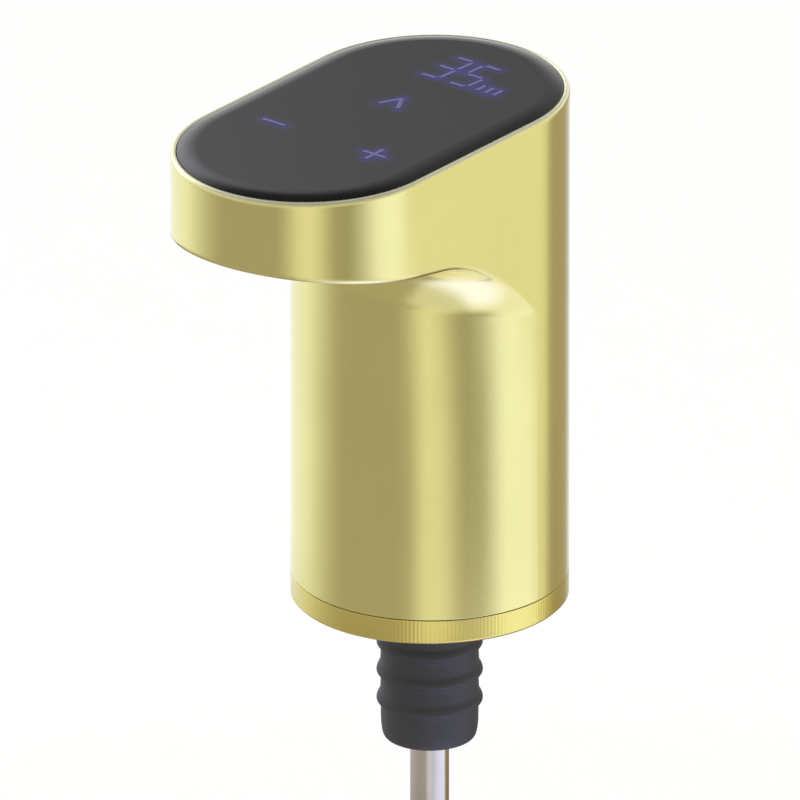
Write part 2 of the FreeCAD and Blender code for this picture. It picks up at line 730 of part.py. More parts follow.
def make_pump():
    screws = around_pump(pump_screw_circle, pump_screw_angles)
    cups = around_pump(cup_circle, cup_angles)
    screw_holes = [cylinder(small_screw_radius, motor_top, pump_top, x, y) for x, y in screws]
    base = cylinder(pump_radius, motor_top, pump_base_top, 0, pump_y)
    chamber = cylinder(rocker_radius + fit_gap, motor_top + pump_base_wall, pump_base_top, 0, pump_y)
    hole = cylinder(shaft_radius + fit_gap, motor_top, pump_base_top, 0, pump_y)
    save("pump_base", [without(base, [chamber, hole] + screw_holes)])
    low = motor_top + pump_base_wall + fit_gap
    wheel = tube(eccentric_radius, shaft_radius, low, low + eccentric_height, 0, pump_y)
    rocker_top = pump_base_top - cup_depth
    pin = cylinder(crank_radius, low + eccentric_height, rocker_top - fit_gap, crank_offset, pump_y)
    save("pump_eccentric", [joined([wheel, pin])])
    pin_space = crank_offset + crank_radius + fit_gap
    rocker = cylinder(rocker_radius, rocker_top - rocker_thickness, rocker_top, 0, pump_y)
    hub = cylinder(pin_space + rocker_thickness, low + eccentric_height + fit_gap, rocker_top, 0, pump_y)
    save("pump_rocker", [joined([rocker, hub]).cut(cylinder(pin_space, low, rocker_top, 0, pump_y))])
    sheet = [cylinder(pump_radius, pump_base_top, diaphragm_top, 0, pump_y)]
    hollows = []
    for x, y in cups:
        sheet.append(cylinder(cup_radius, rocker_top, pump_base_top, x, y))
        hollows.append(cylinder(cup_radius - cup_wall, rocker_top + cup_wall, diaphragm_top, x, y))
    save("pump_diaphragm", [without(joined(sheet), hollows + screw_holes)])
    flap = cylinder(pump_radius, diaphragm_top, flap_top, 0, pump_y)
    ports = [cylinder(cup_wall, diaphragm_top, flap_top, x, y) for x, y in cups]
    save("pump_flap_sheet", [without(flap, ports + screw_holes)])
    head = cylinder(pump_radius, flap_top, pump_top, 0, pump_y)
    space = cylinder(cup_circle + cup_wall, flap_top, pump_top - pump_base_wall, 0, pump_y)
    passage_low = pump_top - 2 * pump_base_wall
    passage = block(pump_port_x, 0, valve_port_y - nipple_wall, valve_port_y + nipple_wall,
                    passage_low, pump_top - pump_base_wall)
    nipple = cylinder(air_hose_bore, pump_top, pump_top + nipple_length, pump_port_x, valve_port_y)
    bore = cylinder(nipple_wall, passage_low, pump_top + nipple_length, pump_port_x, valve_port_y)
    save("pump_head", [without(joined([head, nipple]), [space, passage, bore] + screw_holes)])
    save("pump_screws", [screw(x, y, pump_top, pump_top - motor_top - fit_gap, small_screw_radius,
                               small_head_radius, small_head_height) for x, y in screws])


# ---- Air valve: plastic body, coil in its yoke, sprung plunger
def make_valve():
    left = valve_x - valve_width / 2
    right = valve_x + valve_width / 2
    high = arm_top + valve_height
    body = [block(left, right, yoke_rear, valve_rear, arm_top, high)]
    bores = [rod_along_y(plunger_radius + fit_gap, yoke_rear, valve_rear - valve_end_wall, valve_x,
                         valve_axis)]
    for x in (pump_port_x, bottle_port_x):
        body.append(cylinder(air_hose_bore, arm_bottom - nipple_length, arm_top, x, valve_port_y))
        bores.append(cylinder(nipple_wall, arm_bottom - nipple_length, valve_axis, x, valve_port_y))
    bores.append(rod_along_x(nipple_wall, bottle_port_x, pump_port_x, valve_port_y, valve_axis))
    save("valve_body", [without(joined(body), bores)])
    coil_radius = valve_height / 2
    coil = rod_along_y(coil_radius, coil_front, coil_rear, valve_x, valve_axis)
    hole = rod_along_y(plunger_radius + running_gap, yoke_front, yoke_rear, valve_x, valve_axis)
    save("valve_coil", [coil.cut(hole)])
    side = valve_x - coil_radius
    sheets = [block(side - yoke_thickness, side, yoke_front, yoke_rear, arm_top, high)]
    for y in (yoke_front, coil_rear):
        sheets.append(block(side - yoke_thickness, valve_x + coil_radius, y, y + yoke_thickness,
                            arm_top, high))
    save("valve_yoke", [joined(sheets).cut(hole)])
    core_end = coil_front + core_reach
    core = rod_along_y(plunger_radius + running_gap, yoke_front, core_end, valve_x, valve_axis)
    cap = rod_along_y(plunger_radius + yoke_thickness, yoke_front - yoke_thickness, yoke_front,
                      valve_x, valve_axis)
    save("valve_core", [joined([core, cap])])
    plunger_front = core_end + plunger_travel + plunger_stop_gap
    plunger_rear = valve_rear - valve_end_wall - running_gap
    plunger = rod_along_y(plunger_radius, plunger_front, plunger_rear, valve_x, valve_axis)
    pocket = rod_along_y(spring_radius + 2 * spring_wire, plunger_front, plunger_front + spring_pocket,
                         valve_x, valve_axis)
    save("valve_plunger", [plunger.cut(pocket)])
    free = plunger_front + spring_pocket - core_end - 2 * spring_wire
    helix = Part.makeHelix(free / spring_turns, free, spring_radius)
    wire = Part.Wire([Part.makeCircle(spring_wire, Vector(spring_radius, 0, 0), Vector(0, 1, 0))])
    spring = Part.Wire(helix.Edges).makePipeShell([wire], True, True)
    spring.rotate(Vector(0, 0, 0), Vector(1, 0, 0), -90)
    spring.translate(Vector(valve_x, core_end + spring_wire, valve_axis))
    save("valve_spring", [spring])


# ---- Hoses
def make_hoses():
    start = port_half_width + fit_gap
    merge = nozzle_y + hose_merge
    wine = [(start, 0, port_height), (wine_hose_x, 0, port_height), (wine_hose_x, 0, head_hose_height),
            (wine_hose_x - hose_drift, merge + wine_hose_x - hose_drift, head_hose_height),
            (0, merge, head_hose_height),
            (0, nozzle_y + nozzle_flange_radius + fit_gap, head_hose_height)]
    bends = [wine_bend, wine_bend, head_bend, head_bend]
    save("wine_hose", [hose(wine, bends, wine_hose_radius, wine_hose_bore)])
    end = arm_bottom - fit_gap
    pump = tube(air_hose_radius, air_hose_bore, pump_top + fit_gap, end, pump_port_x, valve_port_y)
    save("pump_hose", [pump])
    rise = end - nipple_length - air_hose_straight
    air = [(air_port_end, 0, port_height), (air_hose_x, 0, port_height),
           (air_hose_x, 0, rise - air_hose_shift), (bottle_port_x, valve_port_y, rise),
           (bottle_port_x, valve_port_y, end)]
    bends = [air_bend, valve_bend, valve_bend]
    save("bottle_air_hose", [hose(air, bends, air_hose_radius, air_hose_bore)])


# ---- Spout nozzle
def make_nozzle():
    body_top = head_hose_height + nozzle_bore
    tip = underside_at(nozzle_y) - nozzle_tip
    parts = [cylinder(nozzle_radius, tip, body_top, 0, nozzle_y)]
    parts.append(cylinder(nozzle_flange_radius, boss_top, flange_top, 0, nozzle_y))
    parts.append(block(-nozzle_screw_offset, nozzle_screw_offset, nozzle_y - post_radius,
                       nozzle_y + post_radius, boss_top, flange_top))
    for x, y in nozzle_screw_places:
        parts.append(cylinder(post_radius, boss_top, flange_top, x, y))
    spigot_end = nozzle_y + nozzle_flange_radius + spigot_length
    parts.append(rod_along_y(wine_hose_bore, nozzle_y, spigot_end, 0, head_hose_height))
    holes = [cylinder(nozzle_bore, tip, head_hose_height, 0, nozzle_y)]
    holes.append(rod_along_y(wine_hose_bore - nipple_wall, nozzle_y, spigot_end, 0, head_hose_height))
    for x, y in nozzle_screw_places:
        holes.append(cylinder(small_screw_radius, boss_top, flange_top, x, y))
    screen_low = tip + screen_depth
    holes.append(cylinder(nozzle_bore + fit_gap, screen_low, screen_low + screen_thickness, 0, nozzle_y))
    save("spout_nozzle", [without(joined(parts), holes)])
    screen = cylinder(nozzle_bore + fit_gap, screen_low, screen_low + screen_thickness, 0, nozzle_y)
    pitch = nozzle_bore / 2
    openings = [cylinder(pitch / 3, screen_low, screen_low + screen_thickness, 0, nozzle_y)]
    for index in range(screen_openings):
        angle = 2 * math.pi * index / screen_openings
        openings.append(cylinder(pitch / 3, screen_low, screen_low + screen_thickness,
                                 pitch * math.cos(angle), nozzle_y + pitch * math.sin(angle)))
    save("aerator_screen", [without(screen, openings)])
    screws = [screw(x, y, flange_top, flange_top - floor_at_nozzle, small_screw_radius, small_head_radius,
                    small_head_height) for x, y in nozzle_screw_places]
    save("nozzle_screws", screws)


# ---- Charging port and its board
def make_power_board():
    low = cover_top + power_board_lift
    front = power_board_rear - power_board_length
    board = block(-power_board_half_width, power_board_half_width, front, power_board_rear, low, usb_low)
    board = board.common(cylinder(inner_radius - fit_gap, low, usb_low))
    save("power_board", [board])
    half = power_chip_size / 2
    chip_front = front + board_margin
    chips = [block(x - half, x + half, chip_front, chip_front + power_chip_size, usb_low,
                   usb_low + chip_height) for x in power_chip_x]
    x, back = capacitor_place
    chips.append(cylinder(capacitor_radius, usb_low, usb_low + 3 * chip_height, x, front + back))
    save("power_chips", chips)
    mouth = body_radius - usb_recess
    rear = mouth - usb_depth
    shell = rounded_slot(usb_width / 2, usb_height / 2, rear, mouth, usb_middle)
    hollow = rounded_slot(usb_width / 2 - usb_wall, usb_height / 2 - usb_wall, rear + usb_wall, mouth,
                          usb_middle)
    save("charging_port_shell", [shell.cut(hollow)])
    half = usb_tongue_width / 2
    tongue = block(-half, half, rear + usb_wall, mouth - usb_recess, usb_middle - usb_tongue_height / 2,
                   usb_middle + usb_tongue_height / 2)
    save("charging_port_tongue", [tongue])


# ---- Bottom cover, port block and what turns or plugs into them
def make_bottom():
    disc = cylinder(inner_radius - cover_gap, housing_bottom, cover_top)
    hub = tube(hub_radius, hub_radius - hub_wall, carrier_top, housing_bottom)
    lip_low = carrier_top + hub_lip_height / 2
    lip = tube(hub_radius + hub_lip, hub_radius - hub_wall, lip_low, lip_low + hub_lip_height)
    parts = [disc, hub, lip]
    board_front = power_board_rear - power_board_length
    for x in (-power_board_half_width / 2, power_board_half_width / 2):
        parts.append(cylinder(post_radius, cover_top, cover_top + power_board_lift, x,
                              board_front + post_radius))
    holes = [cylinder(upper_tube_radius + socket_gap, housing_bottom, cover_top)]
    holes.append(cylinder(air_hose_bore + socket_gap, housing_bottom, cover_top, air_port_x))
    for x, y in post_places:
        holes.append(cylinder(screw_radius, housing_bottom, cover_top, x, y))
        holes.append(cylinder(screw_head_radius, housing_bottom, housing_bottom + screw_head_height, x, y))
    save("bottom_cover", [without(joined(parts), holes)])
    left = air_port_end + fit_gap
    half = port_half_width
    body = [block(left, half, -half, half, cover_top, port_top)]
    wine_tip = half + wine_port_run
    air_tip = air_port_end - air_port_run
    body.append(rod_along_x(wine_hose_bore, half, wine_tip, 0, port_height))
    body.append(rod_along_x(air_hose_bore, air_tip, left, 0, port_height))
    seal_low = cover_top + port_floor
    ducts = [cylinder(upper_tube_radius + socket_gap, cover_top, socket_top)]
    ducts.append(cylinder(upper_tube_radius + seal_ring_width, seal_low, seal_low + seal_ring_width))
    ducts.append(cylinder(wine_hose_bore - nipple_wall, socket_top, port_height))
    ducts.append(rod_along_x(wine_hose_bore - nipple_wall, 0, wine_tip, 0, port_height))
    ducts.append(cylinder(air_hose_bore, cover_top, socket_top, air_port_x))
    ducts.append(cylinder(nipple_wall, socket_top, port_height, air_port_x))
    ducts.append(rod_along_x(nipple_wall, air_tip, air_port_x, 0, port_height))
    save("port_block", [without(joined(body), ducts)])
    seal = tube(upper_tube_radius + seal_ring_width, upper_tube_radius, seal_low,
                seal_low + seal_ring_width)
    save("wine_port_seal", [seal])


def make_lock_ring():
    """Knurled ring that turns on the hub; its tabs carry the stopper's lugs."""
    bore = hub_radius + running_gap
    groove = hub_radius + hub_lip + running_gap
    lip_low = carrier_top + hub_lip_height / 2
    lip_high = lip_low + hub_lip_height
    profile = [(bore, tab_thickness), (bore, lip_low - running_gap), (groove, lip_low - running_gap),
               (groove, lip_high + running_gap), (bore, lip_high + running_gap), (bore, base_ring_height),
               (body_radius, base_ring_height), (body_radius, base_bevel), (body_radius - base_bevel, 0),
               (bore, 0)]
    parts = [turned(profile)]
    for index in range(tab_count):
        parts.append(sector(hub_radius - tab_reach, bore + base_bevel, 0, tab_thickness,
                            360 * index / tab_count, tab_angle))
    save("lock_ring", [joined(parts)])


def make_stopper():
    carrier = cylinder(hub_radius - running_gap, seat_thickness, carrier_top)
    boss = cylinder(carrier_boss_radius, carrier_top, housing_bottom - fit_gap)
    holes = [cylinder(upper_tube_radius, seat_thickness, housing_bottom)]
    holes.append(cylinder(air_hose_bore, seat_thickness, housing_bottom, air_port_x))
    for index in range(tab_count):
        holes.append(sector(hub_radius - tab_reach - fit_gap, hub_radius + fit_gap, seat_thickness,
                            carrier_top, 360 * (index + 0.5) / tab_count, notch_angle))
    save("stopper_carrier", [without(joined([carrier, boss]), holes)])
    outline = [(0, seat_thickness), (seat_radius, seat_thickness), (seat_radius, 0), (plug_radius, 0)]
    ramp = rib_radius - plug_radius
    for index in range(rib_count):
        high = -rib_pitch * (index + 0.5)
        outline += [(plug_radius, high), (rib_radius, high - ramp / 2)]
        outline += [(rib_radius, high - ramp / 2 - rib_land), (plug_radius, high - 2 * ramp - rib_land)]
    outline += [(plug_radius, rib_pitch / 2 - plug_length), (plug_tip_radius, -plug_length)]
    outline.append((0, -plug_length))
    bores = [cylinder(upper_tube_radius, -plug_length, seat_thickness)]
    bores.append(cylinder(air_hose_bore, -plug_length, seat_thickness, air_port_x))
    save("bottle_stopper", [without(turned(outline), bores)])
    air = tube(air_hose_bore, air_hose_bore - tube_wall, -plug_length - fit_gap, socket_top, air_port_x)
    save("air_tube", [air])


# ---- Telescopic suction tube: each tube runs through a gland on the one above
def make_tube(node, radius, low, high):
    save(node, [tube(radius, radius - tube_wall, low, high)])


def make_gland(node, outer, inner, tube_end):
    """Cap on a tube's lower end, with a lip that guides the next tube."""
    cup = cylinder(outer + gland_wall, tube_end - gland_lip, tube_end + gland_length)
    holes = [cylinder(outer, tube_end, tube_end + gland_length)]
    holes.append(cylinder(inner + running_gap, tube_end - gland_lip, tube_end))
    save(node, [without(cup, holes)])


def make_suction_tube():
    upper_end = -tube_reach
    middle_top = -tube_step - plug_length / 4
    middle_end = upper_end - gland_lip - gland_space - gland_length
    lower_top = middle_top - tube_step
    lower_end = middle_end - gland_lip - gland_space - foot_length / 2
    make_tube("tube_upper", upper_tube_radius, upper_end, socket_top)
    make_gland("upper_gland", upper_tube_radius, middle_tube_radius, upper_end)
    make_tube("tube_middle", middle_tube_radius, middle_end, middle_top)
    make_gland("lower_gland", middle_tube_radius, lower_tube_radius, middle_end)
    make_tube("tube_lower", lower_tube_radius, lower_end, lower_top)
    upper_bore = upper_tube_radius - tube_wall
    middle_bore = middle_tube_radius - tube_wall
    save("middle_seal", [tube(upper_bore - running_gap / 2, middle_tube_radius,
                              middle_top - seal_length, middle_top)])
    save("lower_seal", [tube(middle_bore - running_gap / 2, lower_tube_radius,
                             lower_top - seal_length, lower_top)])
    foot_top = lower_end + foot_length / 2
    foot = cylinder(lower_tube_radius + foot_wall, foot_top - foot_length, foot_top)
    slot_top = lower_end - foot_wall
    slot_low = foot_top - foot_length + foot_wall
    holes = [cylinder(lower_tube_radius, lower_end, foot_top)]
    holes.append(cylinder(lower_tube_radius - tube_wall, slot_low, lower_end))
    half = foot_slot / 2
    holes.append(block(-span, span, -half, half, slot_low, slot_top))
    holes.append(block(-half, half, -span, span, slot_low, slot_top))
    save("intake_foot", [without(foot, holes)])


make_housing()
make_panel()
make_marks()
make_control_board()
make_inner_frame()
make_battery()
make_motor()
make_pump()
make_valve()
make_hoses()
make_nozzle()
make_power_board()
make_bottom()
make_lock_ring()
make_stopper()
make_suction_tube()
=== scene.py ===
import math

import bpy
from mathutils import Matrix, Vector


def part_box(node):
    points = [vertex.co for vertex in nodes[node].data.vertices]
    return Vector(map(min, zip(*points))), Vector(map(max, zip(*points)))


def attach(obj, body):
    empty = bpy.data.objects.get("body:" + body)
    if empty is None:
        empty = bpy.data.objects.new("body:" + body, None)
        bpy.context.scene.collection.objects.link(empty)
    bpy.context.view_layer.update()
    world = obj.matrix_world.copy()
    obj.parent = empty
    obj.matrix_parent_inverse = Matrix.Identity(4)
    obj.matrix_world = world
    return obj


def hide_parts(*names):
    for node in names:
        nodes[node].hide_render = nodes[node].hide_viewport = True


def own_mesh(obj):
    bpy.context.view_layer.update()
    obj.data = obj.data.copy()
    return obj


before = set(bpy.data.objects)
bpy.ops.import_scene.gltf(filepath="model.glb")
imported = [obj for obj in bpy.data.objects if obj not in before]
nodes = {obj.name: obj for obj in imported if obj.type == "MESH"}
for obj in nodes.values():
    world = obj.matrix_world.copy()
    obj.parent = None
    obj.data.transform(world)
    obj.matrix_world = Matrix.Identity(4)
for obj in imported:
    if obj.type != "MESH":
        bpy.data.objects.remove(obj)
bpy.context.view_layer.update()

scene = bpy.context.scene


# ---- Camera
# A long lens a few metres away, to the right of the spout and above it, so that upright edges stay upright.
# It aims a little to the left of the column and below its middle. Lengths are in metres.
view_bearing = math.radians(39.32)
view_rise = math.radians(22.65)
view_distance = 6.0
view_width = 0.14308
column_middle = Vector((0, 0, 0.05))
aim_left = 0.00533
aim_down = 0.01199
right = Vector((math.cos(view_bearing), math.sin(view_bearing), 0))
level_back = Vector((math.sin(view_bearing), -math.cos(view_bearing), 0))
back = level_back * math.cos(view_rise) + Vector((0, 0, math.sin(view_rise)))
aim = column_middle - right * aim_left - back.cross(right) * aim_down
bpy.ops.object.camera_add(location=aim + back * view_distance)
camera = bpy.context.object
camera.rotation_mode = "QUATERNION"
camera.rotation_quaternion = back.to_track_quat("Z", "Y")
camera.data.sensor_width = 36
camera.data.lens = camera.data.sensor_width * view_distance / view_width
camera.data.clip_end = 30
scene.camera = camera


# ---- Housing
# The column and the head are one deep-drawn aluminium shell, anodised pale gold and polished to a soft
# mirror, with a rim cut round the panel that a painted highlight makes paler. All that it holds goes in from
# below.
def finish(name, colour, metallic, roughness, grain, depth, tint=0.08, edge=0.0003, stretch=1.0):
    """Material whose colour and roughness drift over the surface, with a fine grain in its bump.

    grain is how fine the grain is and depth how deep. Sharp edges look rounded by edge, and stretch draws
    the grain out along the height.
    """
    material = bpy.data.materials.new(name)
    material.use_nodes = True
    tree = material.node_tree
    shader = tree.nodes["Principled BSDF"]
    shader.inputs["Metallic"].default_value = metallic
    place = tree.nodes.new("ShaderNodeTexCoord")
    drift = tree.nodes.new("ShaderNodeTexNoise")
    drift.inputs["Scale"].default_value = 60
    drift.inputs["Detail"].default_value = 3
    tree.links.new(place.outputs["Object"], drift.inputs["Vector"])
    shade = tree.nodes.new("ShaderNodeValToRGB")
    dark = [channel * (1 - tint) for channel in colour]
    pale = [min(channel * (1 + tint), 1) for channel in colour]
    shade.color_ramp.elements[0].position = 0.3
    shade.color_ramp.elements[1].position = 0.7
    shade.color_ramp.elements[0].color = (*dark, 1)
    shade.color_ramp.elements[1].color = (*pale, 1)
    tree.links.new(drift.outputs["Fac"], shade.inputs["Fac"])
    tree.links.new(shade.outputs["Color"], shader.inputs["Base Color"])
    speckle = tree.nodes.new("ShaderNodeTexNoise")
    speckle.inputs["Scale"].default_value = grain
    speckle.inputs["Detail"].default_value = 4
    drawn = tree.nodes.new("ShaderNodeMapping")
    drawn.inputs["Scale"].default_value[2] = 1 / stretch
    tree.links.new(place.outputs["Object"], drawn.inputs["Vector"])
    tree.links.new(drawn.outputs["Vector"], speckle.inputs["Vector"])
    gloss_spread = 0.15
    gloss = tree.nodes.new("ShaderNodeMapRange")
    gloss.inputs["To Min"].default_value = roughness * (1 - gloss_spread)
    gloss.inputs["To Max"].default_value = roughness * (1 + gloss_spread)
    tree.links.new(speckle.outputs["Fac"], gloss.inputs["Value"])
    tree.links.new(gloss.outputs["Result"], shader.inputs["Roughness"])
    bump = tree.nodes.new("ShaderNodeBump")
    bump.inputs["Strength"].default_value = 0.4
    bump.inputs["Distance"].default_value = depth
    polish = tree.nodes.new("ShaderNodeBevel")
    polish.samples = 8
    polish.inputs["Radius"].default_value = edge
    tree.links.new(polish.outputs["Normal"], bump.inputs["Normal"])
    tree.links.new(speckle.outputs["Fac"], bump.inputs["Height"])
    tree.links.new(bump.outputs["Normal"], shader.inputs["Normal"])
    return material


def dress(name, material):
    """Gives a piece of the frame its finish."""
    for place in nodes[name].material_slots:
        place.material = material


rim_height = 0.0972
rim_fall = math.radians(1.55)
cut_and_highlight_start = rim_height - 0.0005
cut_and_highlight_full = rim_height - 0.0003
# The cut rim round the panel is painted paler and less metallic than the shell: partly a real cut edge,
# partly a painted highlight.
cut_and_highlight_colour = (0.88, 0.86, 0.58)
cut_and_highlight_metallic = 0.7
wide_polish = 0.0012
foot_polish = 0.0001
foot_low = 0.012
foot_high = 0.030
gold = finish("anodised_gold", (0.78, 0.72, 0.27), 1.0, 0.16, 900, 0.000004, tint=0.02, edge=wide_polish)
tree = gold.node_tree
above_rim = tree.nodes.new("ShaderNodeVectorMath")
above_rim.operation = "DOT_PRODUCT"
above_rim.inputs[1].default_value = (0, -math.tan(rim_fall), 1)
cut_and_highlight_mask = tree.nodes.new("ShaderNodeMapRange")
cut_and_highlight_mask.inputs["From Min"].default_value = cut_and_highlight_start
cut_and_highlight_mask.inputs["From Max"].default_value = cut_and_highlight_full
cut_and_highlight_tone = tree.nodes.new("ShaderNodeMix")
cut_and_highlight_tone.data_type = "RGBA"
cut_and_highlight_tone.inputs["B"].default_value = (*cut_and_highlight_colour, 1)
cut_and_highlight_metallic_map = tree.nodes.new("ShaderNodeMapRange")
cut_and_highlight_metallic_map.inputs["To Min"].default_value = 1.0
cut_and_highlight_metallic_map.inputs["To Max"].default_value = cut_and_highlight_metallic
tree.links.new(tree.nodes["Texture Coordinate"].outputs["Object"], above_rim.inputs[0])
tree.links.new(above_rim.outputs["Value"], cut_and_highlight_mask.inputs["Value"])
tree.links.new(cut_and_highlight_mask.outputs["Result"], cut_and_highlight_tone.inputs["Factor"])
tree.links.new(cut_and_highlight_mask.outputs["Result"], cut_and_highlight_metallic_map.inputs["Value"])
tree.links.new(tree.nodes["Color Ramp"].outputs["Color"], cut_and_highlight_tone.inputs["A"])
tree.links.new(cut_and_highlight_tone.outputs["Result"], tree.nodes["Principled BSDF"].inputs["Base Color"])
tree.links.new(cut_and_highlight_metallic_map.outputs["Result"], tree.nodes["Principled BSDF"].inputs["Metallic"])
# The polish is wide over the swept fillet and narrow at the foot, where the real edge is crisp.
polish_width = tree.nodes.new("ShaderNodeMapRange")
polish_width.inputs["From Min"].default_value = foot_low
polish_width.inputs["From Max"].default_value = foot_high
polish_width.inputs["To Min"].default_value = foot_polish
polish_width.inputs["To Max"].default_value = wide_polish
tree.links.new(above_rim.outputs["Value"], polish_width.inputs["Value"])
tree.links.new(polish_width.outputs["Result"], tree.nodes["Bevel"].inputs["Radius"])
dress("housing", gold)


# ---- Touch panel
# Black glass with a softly rounded edge, bedded on a foam gasket in the head's rim. Light from the signs
# spills a little way into the glass round them.
black_glass = finish("black_glass", (0.006, 0.006, 0.007), 0.0, 0.05, 700, 0.000001)
tree = black_glass.node_tree
spill_reach = 0.0026
spill_core = 0.0001
spill_strength = 0.066
spill_violet = (0.12, 0.06, 1.0)
halo = bpy.data.node_groups.new("sign_halo", "ShaderNodeTree")
for name in ("Place", "Start", "Run", "Unit"):
    halo.interface.new_socket(name, in_out="INPUT", socket_type="NodeSocketVector")
halo.interface.new_socket("Light", in_out="OUTPUT", socket_type="NodeSocketFloat")
ends = halo.nodes.new("NodeGroupInput")
result = halo.nodes.new("NodeGroupOutput")


def vector_step(operation, first, second):
    """One step of the sum that gives the distance from a stroke."""
    step = halo.nodes.new("ShaderNodeVectorMath")
    step.operation = operation
    halo.links.new(first, step.inputs[0])
    halo.links.new(second, step.inputs["Scale" if operation == "SCALE" else 1])
    return step


from_start = vector_step("SUBTRACT", ends.outputs["Place"], ends.outputs["Start"])
along = vector_step("DOT_PRODUCT", from_start.outputs["Vector"], ends.outputs["Unit"])
held = halo.nodes.new("ShaderNodeClamp")
halo.links.new(along.outputs["Value"], held.inputs["Value"])
nearest = vector_step("SCALE", ends.outputs["Run"], held.outputs["Result"])
away = vector_step("SUBTRACT", from_start.outputs["Vector"], nearest.outputs["Vector"])
length = halo.nodes.new("ShaderNodeVectorMath")
length.operation = "LENGTH"
halo.links.new(away.outputs["Vector"], length.inputs[0])
fall = halo.nodes.new("ShaderNodeMapRange")
fall.interpolation_type = "SMOOTHERSTEP"
fall.inputs["From Min"].default_value = spill_reach
fall.inputs["From Max"].default_value = spill_core
halo.links.new(length.outputs["Value"], fall.inputs["Value"])
halo.links.new(fall.outputs["Result"], result.inputs["Light"])

# Each stroke of the signs is a pair of ends in millimetres, measured right and rearward from the axis.
arm = 2.55
minus_x, minus_y = -11.5, -29.75
plus_x, plus_y = 11.9, -30.1
peak_x, peak_y = 0.1, -7.95
foot_run, foot_drop = 2.1, 3.8
strokes = [((minus_x - arm, minus_y), (minus_x + arm, minus_y)),
           ((plus_x - arm, plus_y), (plus_x + arm, plus_y)),
           ((plus_x, plus_y - arm), (plus_x, plus_y + arm)),
           ((peak_x - foot_run, peak_y - foot_drop), (peak_x, peak_y)),
           ((peak_x, peak_y), (peak_x + foot_run, peak_y - foot_drop))]
digit_width = 4.1
digit_height = 9.5
digit_pitch = 6.5
digit_lean = 0.065
digit_left = -4.7
digit_base = 3.0
bar_gap = 0.5
digit_half = digit_height / 2
digit_bars = {"a": ((bar_gap, digit_height), (digit_width - bar_gap, digit_height)),
              "b": ((digit_width, digit_height - bar_gap), (digit_width, digit_half + bar_gap)),
              "c": ((digit_width, digit_half - bar_gap), (digit_width, bar_gap)),
              "d": ((bar_gap, 0), (digit_width - bar_gap, 0)),
              "f": ((0, digit_height - bar_gap), (0, digit_half + bar_gap)),
              "g": ((bar_gap, digit_half), (digit_width - bar_gap, digit_half))}
for index, lit in enumerate(("abgcd", "afgcd")):
    left = digit_left + index * digit_pitch
    for bar in lit:
        strokes.append(tuple((left + x + digit_lean * y, digit_base + y) for x, y in digit_bars[bar]))
unit_bar_count = 3
unit_bar_pitch = 1.9
unit_bar_height = 2.6
for index in range(unit_bar_count):
    left = digit_left + 2 * digit_pitch + index * unit_bar_pitch
    strokes.append(((left, digit_base), (left, digit_base + unit_bar_height)))

per_metre = 1000
place = tree.nodes.new("ShaderNodeTexCoord")
flat = tree.nodes.new("ShaderNodeVectorMath")
flat.operation = "MULTIPLY"
flat.inputs[1].default_value = (1, 1, 0)
tree.links.new(place.outputs["Object"], flat.inputs[0])
total = None
for start, end in strokes:
    run = Vector((end[0] - start[0], end[1] - start[1], 0)) / per_metre
    spill = tree.nodes.new("ShaderNodeGroup")
    spill.node_tree = halo
    spill.inputs["Start"].default_value = (start[0] / per_metre, start[1] / per_metre, 0)
    spill.inputs["Run"].default_value = run
    spill.inputs["Unit"].default_value = run / run.length_squared
    tree.links.new(flat.outputs["Vector"], spill.inputs["Place"])
    light = spill.outputs["Light"]
    if total:
        both = tree.nodes.new("ShaderNodeMath")
        tree.links.new(total, both.inputs[0])
        tree.links.new(light, both.inputs[1])
        light = both.outputs["Value"]
    total = light
shader = tree.nodes["Principled BSDF"]
shader.inputs["Emission Color"].default_value = (*spill_violet, 1)
dim = tree.nodes.new("ShaderNodeMath")
dim.operation = "MULTIPLY"
dim.inputs[1].default_value = spill_strength
tree.links.new(total, dim.inputs[0])
tree.links.new(dim.outputs["Value"], shader.inputs["Emission Strength"])
dress("touch_panel", black_glass)
foam = finish("gasket_foam", (0.03, 0.03, 0.03), 0.0, 0.9, 4000, 0.00005)
dress("panel_gasket", foam)


# ---- Lit marks
# Key signs and figures in a thin translucent film on the glass. Lamps on the board below shine through it
# in violet.
mark_violet = (0.062, 0.052, 0.205)
marks = finish("lit_marks", (0.02, 0.02, 0.03), 0.0, 0.25, 900, 0.000001)
glow = marks.node_tree.nodes["Principled BSDF"]
glow.inputs["Emission Color"].default_value = (*mark_violet, 1)
glow.inputs["Emission Strength"].default_value = 1.0
dress("key_marks", marks)
dress("digit_marks", marks)


# ---- Parts under the panel
# A circuit board screwed to posts of the housing and the inner frame. It carries foam touch pads under the
# key signs, a moulded light block under the figures, and its chips on the underside.
board_green = finish("circuit_board", (0.02, 0.16, 0.06), 0.0, 0.35, 2500, 0.00002)
chip_black = finish("chip_black", (0.03, 0.03, 0.03), 0.0, 0.55, 6000, 0.00001)
white_plastic = finish("white_plastic", (0.80, 0.80, 0.78), 0.0, 0.45, 5000, 0.00001)
plated = finish("plated_steel", (0.72, 0.71, 0.69), 1.0, 0.22, 3000, 0.000006)
dress("display_block", white_plastic)
dress("touch_pads", foam)
dress("control_board", board_green)
dress("control_chips", chip_black)
dress("board_screws", plated)


# ---- Inner frame
# One grey plastic moulding with a shelf for the cell and the pump, a web between them with collars that hold
# both, and an arm for the valve. Screws hold it to the bottom cover.
grey_plastic = finish("grey_plastic", (0.30, 0.31, 0.32), 0.0, 0.55, 4000, 0.00002)
dress("inner_frame", grey_plastic)
dress("frame_screws", plated)


# ---- Battery
# A lithium cell in a blue shrink sleeve. It stands on the frame's shelf with a contact of plated steel at
# each end.
sleeve = finish("battery_sleeve", (0.05, 0.16, 0.42), 0.0, 0.3, 1500, 0.00001)
dress("battery_cell", sleeve)
dress("battery_contacts", plated)


